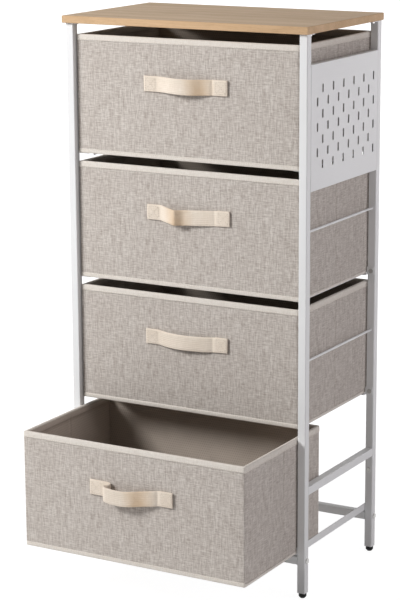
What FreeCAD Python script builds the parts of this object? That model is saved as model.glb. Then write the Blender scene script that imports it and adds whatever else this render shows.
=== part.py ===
import FreeCAD, Part
import math
import os

# Four-drawer dresser: a powder-coated steel frame, a wood slab on top and four
# folding fabric drawers.  Millimetres, +X right, +Y to the back, +Z up.
# The frame is laid out about the slab's centre and moved at export, so that the
# origin is the bottom centre of the whole box with the lowest drawer pulled out.

# ---- slab ----
SLAB_WIDTH = 450.0
SLAB_DEPTH = 277.0
SLAB_THICKNESS = 12.0
SLAB_EDGE_BREAK = 0.8
SLAB_SIDE_OVERHANG = 3.2
SLAB_FRONT_OVERHANG = 6.5
SLAB_REAR_OVERHANG = 0.2

# ---- square tube of legs and rails ----
TUBE_SIZE = 14.0
TUBE_WALL = 1.2
TUBE_CORNER = 1.6

# ---- feet ----
GLIDE_HEIGHT = 9.0
GLIDE_DIAMETER = 13.0
GLIDE_FACE = 7.6             # diameter that rests on the floor
GLIDE_DOME = 3.0             # height of its rounded edge
GLIDE_PLUG_LENGTH = 14.0
PLUG_CLEARANCE = 0.05

# ---- drawer levels ----
DRAWER_COUNT = 4
DRAWER_HEIGHT = 196.5
DRAWER_GAP = 13.5            # from one drawer's rim to the base of the next
FIRST_SEAT = 75.0            # floor to the seat of the lowest drawer
HEAD_GAP = 18.2              # top drawer's rim to the slab
SEAT_GAP = 0.3               # a drawer rides this far above its runners
SIDE_GAP = 2.0               # drawer to the legs, each side
FRONT_RECESS = 8.5           # drawer front behind the legs' front faces
REAR_RECESS = 2.5
OPEN_TRAVEL = 182.0          # the lowest drawer stands this far out

# ---- drawer build-up ----
TAPE_THICKNESS = 0.6
LAYER_GAP = 0.1
COVER_THICKNESS = 1.0
WALL_BOARD = 2.5
LINING_THICKNESS = 0.8
BASE_BOARD = 3.0
BASE_BOARD_MARGIN = 1.0
BOARD_HEAD_GAP = 1.5
BOARD_END_GAP = 2.5          # front and back boards to the outside of the side boards
FOLD_GAP = 3.0               # between the two half boards of a side wall
CORNER_BREAK = 1.5
RIM_TAPE_HEIGHT = 10.0
BASE_TAPE_FRONT = 7.5
BASE_TAPE_SIDE = 2.6
BASE_TAPE_LIP = 6.0

# ---- handle strap ----
STRAP_WIDTH = 25.4
STRAP_THICKNESS = 1.8
STRAP_LENGTH = 154.0
STRAP_SEWN_END = 25.0
STRAP_BULGE = 13.0
STRAP_BEND = 10.0
STRAP_CENTRE = 122.5         # above the drawer's base

# ---- side frames ----
PANEL_HEIGHT = 200.0
PANEL_DROP = 48.0            # slab's underside to the panel's top edge
PANEL_SHEET = 1.0
PANEL_FLANGE = 9.0
PANEL_BEND = 1.5
SLOT_HEIGHT = 14.0
SLOT_WIDTH = 5.0
SLOT_CORNER = 1.3
SLOT_COLUMNS = 12
SLOTS_SHORT = 3
SLOT_PITCH_Y = 18.6
SLOT_PITCH_Z = 40.0
SLOT_FRONT_MARGIN = 22.0
WIRE_DIAMETER = 4.0
WIRE_RISE = 112.0            # side wire above the drawer's base
MID_RAIL_RISE = 106.0
RUNNER_SHEET = 1.5
RUNNER_UPRIGHT = 13.0
RUNNER_SHELF = 16.0
RUNNER_HEEL = 1.2            # break of its outer corner
RUNNER_END_MARGIN = 1.0
RAIL_DROP = 2.2              # runner's underside to the cross rails

# ---- carrying angles of the upper drawers ----
CARRIER_SHEET = 1.5
CARRIER_SHELF = 12.0
CARRIER_FLANGE = 6.0         # turned down along the inner edge
CARRIER_FLANGE_MARGIN = 18.0
CARRIER_INSET = 2.8          # shelf's outer edge inside the drawer's side
CARRIER_NECK = 10.0          # joins the shelf to its tab
CARRIER_NECK_REACH = 1.2     # past the leg's inner face
CARRIER_TAB_MARGIN = 1.8     # leg's outer face to the tab's edge
CARRIER_TAB_CLEARANCE = 1.3  # tab to the drawer's side
CARRIER_TAB_RISE = 11.0      # tab's top above the drawer's base
CARRIER_SCREW_RISE = 4.4
SPARE_SCREW_DROP = 32.0      # below the middle side rail's axis

# ---- fasteners ----
SCREW_HEAD = 7.6
SCREW_HEAD_HEIGHT = 2.0
HEXAGON = 6                  # sides of the slab screws' heads
BOLT_DIAMETER = 6.0
BOLT_HEAD = 9.0
BOLT_HEAD_HEIGHT = 2.2
BOLT_REACH = 11.0            # into the cross rail
INSERT_LENGTH = 18.0
FASTENER_CLEARANCE = 0.05
TAB_LENGTH = 15.0
TAB_THICKNESS = 2.0

# ---- working values ----
OVERCUT = 1.0                # how far a cutting shape reaches past what it cuts
SAME_PLACE = 0.01

# ---- places worked out from the sizes above ----
LEG_OUTER = SLAB_WIDTH / 2 - SLAB_SIDE_OVERHANG
LEG_AXIS = LEG_OUTER - TUBE_SIZE / 2
LEG_INNER = LEG_OUTER - TUBE_SIZE
FRAME_FRONT = -SLAB_DEPTH / 2 + SLAB_FRONT_OVERHANG
FRAME_REAR = SLAB_DEPTH / 2 - SLAB_REAR_OVERHANG
SPAN_FRONT = FRAME_FRONT + TUBE_SIZE         # side rails start behind the front leg
SPAN_REAR = FRAME_REAR - TUBE_SIZE
DRAWER_PITCH = DRAWER_HEIGHT + DRAWER_GAP
TOP_LEVEL = DRAWER_COUNT - 1
TAPE_PROUD = LAYER_GAP + TAPE_THICKNESS
DRAWER_WIDTH = 2 * (LEG_INNER - SIDE_GAP - TAPE_PROUD)       # over the fabric
DRAWER_FRONT = FRAME_FRONT + FRONT_RECESS
DRAWER_DEPTH = FRAME_REAR - REAR_RECESS - DRAWER_FRONT
WALL = COVER_THICKNESS + WALL_BOARD + LINING_THICKNESS + 2 * LAYER_GAP
STRAP_PROUD = LAYER_GAP + STRAP_BULGE + STRAP_THICKNESS
LEG_SIDES = {"left": -1, "right": 1}


def drawer_base(level):
    """Height of a drawer's underside; level 0 is the lowest drawer."""
    return FIRST_SEAT + SEAT_GAP + level * DRAWER_PITCH


SLAB_UNDERSIDE = drawer_base(TOP_LEVEL) + DRAWER_HEIGHT + HEAD_GAP
MID_RAIL_AXIS = drawer_base(0) + MID_RAIL_RISE
CROSS_RAIL_AXIS = FIRST_SEAT - RUNNER_SHEET - RAIL_DROP - TUBE_SIZE / 2
BOX_FRONT = DRAWER_FRONT - OPEN_TRAVEL - STRAP_PROUD
BOX_CENTRE = (BOX_FRONT + SLAB_DEPTH / 2) / 2


def vector(x, y, z):
    return FreeCAD.Vector(x, y, z)


def box(x0, x1, y0, y1, z0, z1):
    return Part.makeBox(x1 - x0, y1 - y0, z1 - z0, vector(x0, y0, z0))


def edges_along(shape, axis):
    """Straight edges of a shape that run along one axis."""
    found = []
    for edge in shape.Edges:
        run = edge.Vertexes[-1].Point - edge.Vertexes[0].Point
        if run.Length > SAME_PLACE and run.cross(axis).Length < SAME_PLACE * run.Length:
            found.append(edge)
    return found


def rounded_box(x0, x1, y0, y1, z0, z1, radius, axis=(0, 0, 1)):
    """A box whose edges along one axis are rounded."""
    plain = box(x0, x1, y0, y1, z0, z1)
    return plain.makeFillet(radius, edges_along(plain, vector(*axis)))


def cylinder(diameter, length, start, direction):
    return Part.makeCylinder(diameter / 2, length, vector(*start), vector(*direction))


def tube(x0, x1, y0, y1, z0, z1, axis):
    """Square tube, open at both ends, that runs along one axis."""
    outer = rounded_box(x0, x1, y0, y1, z0, z1, TUBE_CORNER, axis)
    inset = [0 if along else TUBE_WALL for along in axis]
    bore = box(x0 + inset[0], x1 - inset[0], y0 + inset[1], y1 - inset[1],
               z0 + inset[2], z1 - inset[2])
    return outer.cut(bore)


def mirrored(shape):
    """The same piece on the other side of the dresser."""
    return shape.mirror(vector(0, 0, 0), vector(1, 0, 0))


def on_side(shape, side):
    """A piece drawn for the right side, put on the named side."""
    return shape if side > 0 else mirrored(shape)


def slab():
    plain = box(-SLAB_WIDTH / 2, SLAB_WIDTH / 2, -SLAB_DEPTH / 2, SLAB_DEPTH / 2,
                SLAB_UNDERSIDE, SLAB_UNDERSIDE + SLAB_THICKNESS)
    level_edges = edges_along(plain, vector(1, 0, 0)) + edges_along(plain, vector(0, 1, 0))
    return plain.makeChamfer(SLAB_EDGE_BREAK, level_edges)


def slab_tab_places():
    """Middles of the tabs under the slab, behind the front legs and before the rear ones."""
    return [(side * LEG_AXIS, y) for side in (-1, 1)
            for y in (SPAN_FRONT + TAB_LENGTH / 2, SPAN_REAR - TAB_LENGTH / 2)]


def slab_tabs():
    """Small plates welded to the legs; the slab is screwed to them."""
    half_x = TUBE_SIZE / 2 - TUBE_CORNER
    return [box(x - half_x, x + half_x, y - TAB_LENGTH / 2, y + TAB_LENGTH / 2,
                SLAB_UNDERSIDE - TAB_THICKNESS, SLAB_UNDERSIDE) for x, y in slab_tab_places()]


def screw_head(seat, outward):
    return cylinder(SCREW_HEAD, SCREW_HEAD_HEIGHT, seat, outward)


def slab_screws():
    """Hexagon heads under the tabs, turned up into the slab."""
    heads = []
    seat = SLAB_UNDERSIDE - TAB_THICKNESS
    turns = [2 * math.pi * side / HEXAGON for side in range(HEXAGON + 1)]
    for x, y in slab_tab_places():
        outline = Part.makePolygon([vector(x + SCREW_HEAD / 2 * math.cos(turn),
                                           y + SCREW_HEAD / 2 * math.sin(turn), seat)
                                    for turn in turns])
        heads.append(Part.Face(outline).extrude(vector(0, 0, -SCREW_HEAD_HEIGHT)))
    return heads


def carrier_screw_heights():
    return [drawer_base(level) + CARRIER_SCREW_RISE for level in range(1, DRAWER_COUNT)]


def leg(side, front):
    """One leg, with the hole for the bolt of its cross rail."""
    y0 = FRAME_FRONT if front else SPAN_REAR
    body = tube(LEG_INNER, LEG_OUTER, y0, y0 + TUBE_SIZE, GLIDE_HEIGHT, SLAB_UNDERSIDE,
                (0, 0, 1))
    middle = y0 + TUBE_SIZE / 2
    hole = cylinder(BOLT_DIAMETER + 2 * FASTENER_CLEARANCE, TUBE_SIZE + 2 * OVERCUT,
                    (LEG_OUTER + OVERCUT, middle, CROSS_RAIL_AXIS), (-1, 0, 0))
    return on_side(body.cut(hole), side)


def glides():
    """Round feet, each with a square plug that is pressed into its leg."""
    feet = []
    half = TUBE_SIZE / 2 - TUBE_WALL - PLUG_CLEARANCE
    for x in (-LEG_AXIS, LEG_AXIS):
        for y in cross_rail_middles():
            edge = Part.makeCone(GLIDE_FACE / 2, GLIDE_DIAMETER / 2, GLIDE_DOME, vector(x, y, 0))
            foot = cylinder(GLIDE_DIAMETER, GLIDE_HEIGHT - GLIDE_DOME, (x, y, GLIDE_DOME), (0, 0, 1))
            plug = box(x - half, x + half, y - half, y + half,
                       GLIDE_HEIGHT, GLIDE_HEIGHT + GLIDE_PLUG_LENGTH)
            feet.append(edge.fuse([foot, plug]))
    return feet


def slot(y, z):
    """Punch that cuts one upright slot through the right panel."""
    body = box(LEG_OUTER - 2 * PANEL_SHEET, LEG_OUTER + PANEL_SHEET,
               y - SLOT_WIDTH / 2, y + SLOT_WIDTH / 2, z - SLOT_HEIGHT / 2, z + SLOT_HEIGHT / 2)
    return body.makeChamfer(SLOT_CORNER, edges_along(body, vector(1, 0, 0)))


def side_panel():
    """Pressed sheet, flush with the legs' outer faces, with a folded flange above
    and below and staggered columns of slots: a short column, then a longer one."""
    top = SLAB_UNDERSIDE - PANEL_DROP
    bottom = top - PANEL_HEIGHT
    tray = box(LEG_OUTER - PANEL_FLANGE, LEG_OUTER, SPAN_FRONT, SPAN_REAR, bottom, top)
    outer = [edge for edge in edges_along(tray, vector(0, 1, 0))
             if edge.CenterOfMass.x > LEG_OUTER - PANEL_FLANGE / 2]
    tray = tray.makeFillet(PANEL_BEND, outer)
    inside = box(LEG_OUTER - PANEL_FLANGE - OVERCUT, LEG_OUTER - PANEL_SHEET,
                 SPAN_FRONT - OVERCUT, SPAN_REAR + OVERCUT, bottom + PANEL_SHEET, top - PANEL_SHEET)
    middle = (bottom + top) / 2
    slots = []
    for column in range(SLOT_COLUMNS):
        y = SPAN_FRONT + SLOT_FRONT_MARGIN + column * SLOT_PITCH_Y
        count = SLOTS_SHORT + column % 2
        for row in range(count):
            slots.append(slot(y, middle + (row - (count - 1) / 2) * SLOT_PITCH_Z))
    return tray.cut([inside] + slots)


def side_wires(side):
    """Round wires between the legs beside the drawers.  The right side has its
    panel in the place of the top wire."""
    top_level = TOP_LEVEL if side > 0 else TOP_LEVEL + 1
    wires = []
    for level in range(1, top_level):
        start = (side * LEG_AXIS, SPAN_FRONT, drawer_base(level) + WIRE_RISE)
        wires.append(cylinder(WIRE_DIAMETER, SPAN_REAR - SPAN_FRONT, start, (0, 1, 0)))
    return wires


def mid_rail(side):
    low = MID_RAIL_AXIS - TUBE_SIZE / 2
    return on_side(tube(LEG_INNER, LEG_OUTER, SPAN_FRONT, SPAN_REAR, low, low + TUBE_SIZE,
                        (0, 1, 0)), side)


def runner(side):
    """Angle on the legs' inner faces that carries the lowest drawer."""
    y0 = FRAME_FRONT + RUNNER_END_MARGIN
    y1 = FRAME_REAR - RUNNER_END_MARGIN
    low = FIRST_SEAT - RUNNER_SHEET
    upright = box(LEG_INNER - RUNNER_SHEET, LEG_INNER, y0, y1, low, low + RUNNER_UPRIGHT)
    shelf = box(LEG_INNER - RUNNER_SHELF, LEG_INNER, y0, y1, low, FIRST_SEAT)
    angle = upright.fuse(shelf).removeSplitter()
    heel = [edge for edge in edges_along(angle, vector(0, 1, 0))
            if edge.CenterOfMass.x > LEG_INNER - SAME_PLACE and edge.CenterOfMass.z < low + SAME_PLACE]
    return on_side(angle.makeChamfer(RUNNER_HEEL, heel), side)


def cross_rail(front):
    y0 = FRAME_FRONT if front else SPAN_REAR
    low = CROSS_RAIL_AXIS - TUBE_SIZE / 2
    return tube(-LEG_INNER, LEG_INNER, y0, y0 + TUBE_SIZE, low, low + TUBE_SIZE, (1, 0, 0))


def cross_rail_middles():
    return (FRAME_FRONT + TUBE_SIZE / 2, FRAME_REAR - TUBE_SIZE / 2)


def rail_inserts():
    """Threaded blocks inside the ends of the cross rails."""
    half = TUBE_SIZE / 2 - TUBE_WALL - PLUG_CLEARANCE
    blocks = []
    for side in (-1, 1):
        for y in cross_rail_middles():
            block = box(LEG_INNER - INSERT_LENGTH, LEG_INNER, y - half, y + half,
                        CROSS_RAIL_AXIS - half, CROSS_RAIL_AXIS + half)
            bore = cylinder(BOLT_DIAMETER + 2 * FASTENER_CLEARANCE, INSERT_LENGTH,
                            (LEG_INNER, y, CROSS_RAIL_AXIS), (-1, 0, 0))
            blocks.append(on_side(block.cut(bore), side))
    return blocks


def rail_bolts():
    """Low-headed bolts through the legs into the cross rails."""
    bolts = []
    for side in (-1, 1):
        for y in cross_rail_middles():
            outward = vector(side, 0, 0)
            seat = vector(side * LEG_OUTER, y, CROSS_RAIL_AXIS)
            head = Part.makeCylinder(BOLT_HEAD / 2, BOLT_HEAD_HEIGHT, seat, outward)
            shank = Part.makeCylinder(BOLT_DIAMETER / 2, TUBE_SIZE + BOLT_REACH, seat, outward * -1)
            bolts.append(head.fuse(shank))
    return bolts


def carrier(side, level):
    """Pressed angle under one edge of a drawer: a shelf with its inner edge turned
    down, and a neck at each end that leads out to a screwed tab on the leg."""
    base = drawer_base(level)
    seat = base - SEAT_GAP
    low = seat - CARRIER_SHEET
    drawer_side = LEG_INNER - SIDE_GAP
    shelf_outer = drawer_side - CARRIER_INSET
    shelf_inner = shelf_outer - CARRIER_SHELF
    shelf = box(shelf_inner, shelf_outer, SPAN_FRONT, SPAN_REAR, low, seat)
    flange = box(shelf_inner, shelf_inner + CARRIER_SHEET, SPAN_FRONT + CARRIER_FLANGE_MARGIN,
                 SPAN_REAR - CARRIER_FLANGE_MARGIN, seat - CARRIER_FLANGE, seat)
    ends = []
    for y0, y1 in ((SPAN_FRONT, SPAN_FRONT + CARRIER_NECK), (SPAN_REAR - CARRIER_NECK, SPAN_REAR)):
        ends.append(box(shelf_inner, LEG_INNER + CARRIER_NECK_REACH, y0, y1, low, seat))
    for y in (SPAN_FRONT, SPAN_REAR - CARRIER_SHEET):
        ends.append(box(drawer_side + CARRIER_TAB_CLEARANCE, LEG_OUTER - CARRIER_TAB_MARGIN,
                        y, y + CARRIER_SHEET, low, base + CARRIER_TAB_RISE))
    return on_side(shelf.fuse([flange] + ends).removeSplitter(), side)


def carrier_screws():
    screws = []
    for side in (-1, 1):
        for height in carrier_screw_heights():
            x = side * LEG_AXIS
            screws.append(screw_head((x, SPAN_FRONT + CARRIER_SHEET, height), (0, 1, 0)))
            screws.append(screw_head((x, SPAN_REAR - CARRIER_SHEET, height), (0, -1, 0)))
    return screws


def spare_screws():
    """Screws that close the spare holes of the rear legs."""
    height = MID_RAIL_AXIS - SPARE_SCREW_DROP
    return [screw_head((side * LEG_AXIS, SPAN_REAR, height), (0, -1, 0)) for side in (-1, 1)]


# ---- drawer, drawn with its front face at y = 0 and its underside at z = 0 ----

def plan_prism(inset, z0, z1):
    """Upright prism of the drawer's plan, inset from the fabric's outer face.  Its
    corners are broken, unless it is the space inside a wall."""
    half = DRAWER_WIDTH / 2 - inset
    prism = box(-half, half, inset, DRAWER_DEPTH - inset, z0, z1)
    if inset > 0:
        return prism
    return prism.makeChamfer(CORNER_BREAK, edges_along(prism, vector(0, 0, 1)))


def drawer_cover():
    top = DRAWER_HEIGHT - TAPE_PROUD
    outer = plan_prism(0, TAPE_PROUD, top)
    return outer.cut(plan_prism(COVER_THICKNESS, TAPE_PROUD + COVER_THICKNESS, top + OVERCUT))


def drawer_lining():
    top = DRAWER_HEIGHT - TAPE_PROUD
    outside = COVER_THICKNESS + WALL_BOARD + 2 * LAYER_GAP
    floor = TAPE_PROUD + COVER_THICKNESS + LAYER_GAP
    outer = plan_prism(outside, floor, top)
    return outer.cut(plan_prism(WALL, floor + LINING_THICKNESS, top + OVERCUT))


def wall_boards():
    """Front, back and two half boards in each side, so that the drawer folds."""
    low = TAPE_PROUD + COVER_THICKNESS + LAYER_GAP
    high = DRAWER_HEIGHT - TAPE_PROUD - BOARD_HEAD_GAP
    out = COVER_THICKNESS + LAYER_GAP
    inn = out + WALL_BOARD
    half = DRAWER_WIDTH / 2
    middle = DRAWER_DEPTH / 2
    end = half - out - BOARD_END_GAP
    boards = [box(-end, end, out, inn, low, high),
              box(-end, end, DRAWER_DEPTH - inn, DRAWER_DEPTH - out, low, high)]
    for side in (-1, 1):
        x0, x1 = sorted((side * (half - out), side * (half - inn)))
        boards.append(box(x0, x1, inn + LAYER_GAP, middle - FOLD_GAP / 2, low, high))
        boards.append(box(x0, x1, middle + FOLD_GAP / 2, DRAWER_DEPTH - inn - LAYER_GAP, low, high))
    return boards


def base_board():
    margin = WALL + BASE_BOARD_MARGIN
    low = TAPE_PROUD + COVER_THICKNESS + LINING_THICKNESS + 2 * LAYER_GAP
    return plan_prism(margin, low, low + BASE_BOARD)


def rim_tape():
    """Tape folded over the rim, seen on both faces of the walls."""
    low = DRAWER_HEIGHT - RIM_TAPE_HEIGHT
    band = plan_prism(-TAPE_PROUD, low, DRAWER_HEIGHT).cut(
        plan_prism(WALL + TAPE_PROUD, low - OVERCUT, DRAWER_HEIGHT + OVERCUT))
    groove = plan_prism(-LAYER_GAP, low - OVERCUT, DRAWER_HEIGHT - TAPE_THICKNESS).cut(
        plan_prism(WALL + LAYER_GAP, low - OVERCUT, DRAWER_HEIGHT))
    return band.cut(groove)


def base_tape():
    """Tape round the base edge: a deep band in front, a thin edge at the sides."""
    band = plan_prism(-TAPE_PROUD, 0, BASE_TAPE_FRONT)
    band = band.cut(plan_prism(-LAYER_GAP, TAPE_THICKNESS, BASE_TAPE_FRONT + OVERCUT))
    band = band.cut(plan_prism(BASE_TAPE_LIP, -OVERCUT, TAPE_THICKNESS + OVERCUT))
    reach = DRAWER_WIDTH / 2 + 2 * TAPE_PROUD
    behind = box(-reach, reach, CORNER_BREAK, DRAWER_DEPTH + 2 * TAPE_PROUD,
                 BASE_TAPE_SIDE, BASE_TAPE_FRONT + OVERCUT)
    return band.cut(behind)


def strap_face_line(offset):
    """One face of the strap: flat sewn ends joined by a bulge, offset outwards."""
    end = STRAP_LENGTH / 2
    foot = end - STRAP_SEWN_END
    reach = (foot ** 2 + STRAP_BULGE ** 2) / (2 * STRAP_BULGE)    # both radii together
    small = STRAP_BEND - offset
    large = reach - STRAP_BEND + offset
    small_z = STRAP_BEND
    large_z = STRAP_BULGE - (reach - STRAP_BEND)
    lean = foot / reach
    drop = (small_z - large_z) / reach
    pieces = []
    for side in (-1, 1):
        start = vector(side * foot, small_z - small, 0)
        meet = vector(side * (foot - lean * small), small_z - drop * small, 0)
        half_turn = vector(side * -lean, -drop - 1, 0).normalize()
        middle = vector(side * foot, small_z, 0) + half_turn * small
        pieces.append(Part.LineSegment(vector(side * end, offset, 0), start).toShape())
        pieces.append(Part.Arc(start, middle, meet).toShape())
        if side < 0:
            first_meet = meet
    pieces.append(Part.Arc(first_meet, vector(0, large_z + large, 0), meet).toShape())
    return pieces


def handle():
    """Webbing strap sewn down at both ends, with room for fingers behind it."""
    edges = strap_face_line(0) + strap_face_line(STRAP_THICKNESS)
    for side in (-1, 1):
        x = side * STRAP_LENGTH / 2
        edges.append(Part.LineSegment(vector(x, 0, 0), vector(x, STRAP_THICKNESS, 0)).toShape())
    outline = Part.Wire(Part.__sortEdges__(edges))
    strap = Part.Face(outline).extrude(vector(0, 0, STRAP_WIDTH))
    strap = strap.mirror(vector(0, 0, 0), vector(0, 1, 0))
    strap.translate(vector(0, -LAYER_GAP, STRAP_CENTRE - STRAP_WIDTH / 2))
    return strap


DRAWER_PIECES = {
    "cover": drawer_cover,
    "lining": drawer_lining,
    "wall_boards": wall_boards,
    "base_board": base_board,
    "rim_tape": rim_tape,
    "base_tape": base_tape,
    "handle": handle,
}


def as_list(shapes):
    return shapes if isinstance(shapes, list) else [shapes]


def drawer_nodes():
    """Every drawer's pieces, numbered from the top; the lowest stands open."""
    nodes = {}
    for name, make in DRAWER_PIECES.items():
        pattern = as_list(make())
        for level in range(DRAWER_COUNT):
            out = OPEN_TRAVEL if level == 0 else 0
            place = vector(0, DRAWER_FRONT - out, drawer_base(level))
            nodes[f"drawer_{DRAWER_COUNT - level}_{name}"] = [
                shape.translated(place) for shape in pattern]
    return nodes


def frame_nodes():
    nodes = {
        "tabletop": slab(),
        "tabletop_tabs": slab_tabs(),
        "tabletop_screws": slab_screws(),
        "glides": glides(),
        "side_panel_right": side_panel(),
        "cross_rail_front": cross_rail(True),
        "cross_rail_rear": cross_rail(False),
        "cross_rail_inserts": rail_inserts(),
        "cross_rail_bolts": rail_bolts(),
        "carrier_screws": carrier_screws(),
        "spare_screws": spare_screws(),
    }
    for name, side in LEG_SIDES.items():
        nodes[f"leg_front_{name}"] = leg(side, True)
        nodes[f"leg_rear_{name}"] = leg(side, False)
        nodes[f"side_wires_{name}"] = side_wires(side)
        nodes[f"mid_rail_{name}"] = mid_rail(side)
        nodes[f"base_runner_{name}"] = runner(side)
        for level in range(1, DRAWER_COUNT):
            nodes[f"carrier_{DRAWER_COUNT - level}_{name}"] = carrier(side, level)
    return nodes


def main():
    os.makedirs("parts", exist_ok=True)
    to_origin = vector(0, -BOX_CENTRE, 0)
    for name, shapes in {**frame_nodes(), **drawer_nodes()}.items():
        solids = [shape.translated(to_origin) for shape in as_list(shapes)]
        shape = solids[0] if len(solids) == 1 else Part.makeCompound(solids)
        shape.exportStep(f"parts/{name}.step")


main()
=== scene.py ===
import math
from bisect import bisect_left
from functools import partial

import bmesh
import bpy
from mathutils import Matrix, Vector, noise


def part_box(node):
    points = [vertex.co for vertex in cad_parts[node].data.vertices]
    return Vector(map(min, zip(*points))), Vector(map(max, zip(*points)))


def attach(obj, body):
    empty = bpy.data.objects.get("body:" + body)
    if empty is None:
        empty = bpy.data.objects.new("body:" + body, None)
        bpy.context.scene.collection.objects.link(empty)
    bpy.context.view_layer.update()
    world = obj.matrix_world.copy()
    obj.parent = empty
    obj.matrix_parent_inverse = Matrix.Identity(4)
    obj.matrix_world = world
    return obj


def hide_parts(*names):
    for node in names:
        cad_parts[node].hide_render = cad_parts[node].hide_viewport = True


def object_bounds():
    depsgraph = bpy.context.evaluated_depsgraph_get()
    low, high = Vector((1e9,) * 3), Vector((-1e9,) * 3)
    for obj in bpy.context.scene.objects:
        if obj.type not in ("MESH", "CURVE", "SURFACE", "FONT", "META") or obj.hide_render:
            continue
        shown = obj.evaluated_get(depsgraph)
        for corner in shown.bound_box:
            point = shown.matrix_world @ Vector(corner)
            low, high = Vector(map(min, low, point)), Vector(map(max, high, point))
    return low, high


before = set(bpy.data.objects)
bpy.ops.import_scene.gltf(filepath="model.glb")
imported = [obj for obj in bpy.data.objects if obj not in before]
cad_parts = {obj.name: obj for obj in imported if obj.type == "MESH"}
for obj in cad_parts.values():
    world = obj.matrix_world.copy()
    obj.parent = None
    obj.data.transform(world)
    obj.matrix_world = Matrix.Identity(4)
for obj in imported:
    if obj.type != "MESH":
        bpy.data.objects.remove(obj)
cad_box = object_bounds()

# A dresser of four folding fabric drawers in a white tube frame under a wood-grain slab.
# Lengths are in metres, unless a comment says millimetres. The drawers' own sizes come from their nodes.

DRAWERS = (1, 2, 3, 4)
MM = 0.001
THREADS = "threads"             # UV map in metres: along the cloth, and across it

# ---- cloth ----
CLOTH_STEP = 7 * MM             # spacing of the stations round a drawer and up its walls
# Radii of a drawer's upright edges in millimetres: rear left, front left, front right, rear right.
CORNER_RADII = {1: (4, 0.6, 6.5, 2), 2: (4, 0.6, 3.6, 2), 3: (4, 0.6, 6.5, 2), 4: (4, 1.7, 1.9, 4)}
LINING_CORNER = 0.8 * MM
CORNER_STEPS = 4
CORNER_CALM = 5 * MM            # the tapes lie still this far from a corner
FOLD_WIDTH = 1.7 * MM           # crease in the middle of each side, where the drawer folds flat
FOLD_DEPTH = 0.9 * MM
COVER_SKIN = 0.8 * MM
COVER_BILLOW = 0.7 * MM
COVER_WAVES = (75 * MM, 24 * MM, 0.35)  # sizes of its slow and quick waves, share of the quick ones
COVER_BASE_ROUND = 1.6 * MM
COVER_UNDER_LIP = 9 * MM
LINING_SKIN = 0.6 * MM
LINING_BILLOW = 0.5 * MM
LINING_WAVES = (90 * MM, 30 * MM, 0.3)
LINING_FOLD_DEPTH = 1.1 * MM
LINING_PROUD = 0.1 * MM         # of its wall below the hem
LINING_TOP_DROP = 1.5 * MM      # hem's top below the lining's own height, under the rim tape
FLOOR_CLOTH_SHIFT = 1.0         # keeps the lining's floor clear of its hem on the cloth's map
HEM_DEPTH = 9.5 * MM            # folded top edge of the lining
HEM_PROUD = 0.7 * MM
HEM_STEP = 0.4 * MM             # drop from its edge to the wall
BOUND_EDGE = 15 * MM            # how far from a seam or an edge the cloth is held flat
PUCKER_PITCH = 7.5 * MM
PUCKER_DEPTH = 0.22 * MM
PUCKER_REACH = 6 * MM
RIM_SEAM_DROP = 12 * MM         # puckers lie this far below the rim, and above the base
BASE_SEAM_RISE = 9 * MM
SEAM_PROUD = 0.6 * MM           # of the cloth's closing seam, at the front left edge
SEAM_REACH = 5 * MM

# ---- tapes ----
TAPE_SKIN = 0.55 * MM
TAPE_INNER_LEG = 3.2 * MM
TAPE_EDGE_WANDER = 0.28 * MM
TAPE_EDGE_RUN = 0.26 * MM       # of the cloth's map over its cut edge
RIM_TAPE_EDGE = 4 * MM          # the free lower edge, which puckers and wanders
RIM_TAPE_WAVE = 17 * MM
RIM_SAG = 0.25 * MM
RIM_SAG_WAVE = 110 * MM
TAPE_STITCH_INSET = 1.7 * MM
BASE_TAPE_SIDE = 5.0 * MM       # height of the base binding at the sides and the rear
BASE_TAPE_TURN = 5 * MM         # over which it drops from its front height to that
BASE_TAPE_WAVE = 20 * MM
BASE_TAPE_LIP = 6 * MM          # turned in underneath

# ---- stitches ----
STITCH_PITCH = 4.2 * MM
STITCH_LENGTH = 3.0 * MM
STITCH_RADIUS = 0.26 * MM
STITCH_SIDES = 5
STITCH_BELLY = 0.28             # half the stretch that lies on top, as a share of the stitch
THREAD_TWIST = 0.5 * MM

# ---- slab ----
SLAB_BAND = 1.2 * MM            # edge band, as wide as it shows on the top
SLAB_JOINT = 0.2 * MM           # dark line where it meets the foil

# ---- straps ----
STRAP_SKIN = 1.6 * MM
STRAP_UNDER = 1.5 * MM          # folded-in end under the top layer
STRAP_PATCH = 24 * MM           # length of the sewn ends
STRAP_FLAT = 8 * MM             # outermost stretch of each end, which lies quite flat
STRAP_SINK = 0.6                # share of the cover's billow that its seat lies out
STRAP_UNDER_INSET = 0.9 * MM
STRAP_STEP = 2.0 * MM
STRAP_RIB = 3.1 * MM
STRAP_SHADE_FADE = (5 * MM, 30 * MM)   # over which the painted tan shade fades
STRAP_STITCH_INSET = 3 * MM
CURVE_STEPS = 24                # between two of its places, before it is divided evenly
STRAP_SHIFTS = {1: 0.8, 2: 4.3, 3: -0.6, 4: 0.8}    # millimetres that each is sewn off its place
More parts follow.
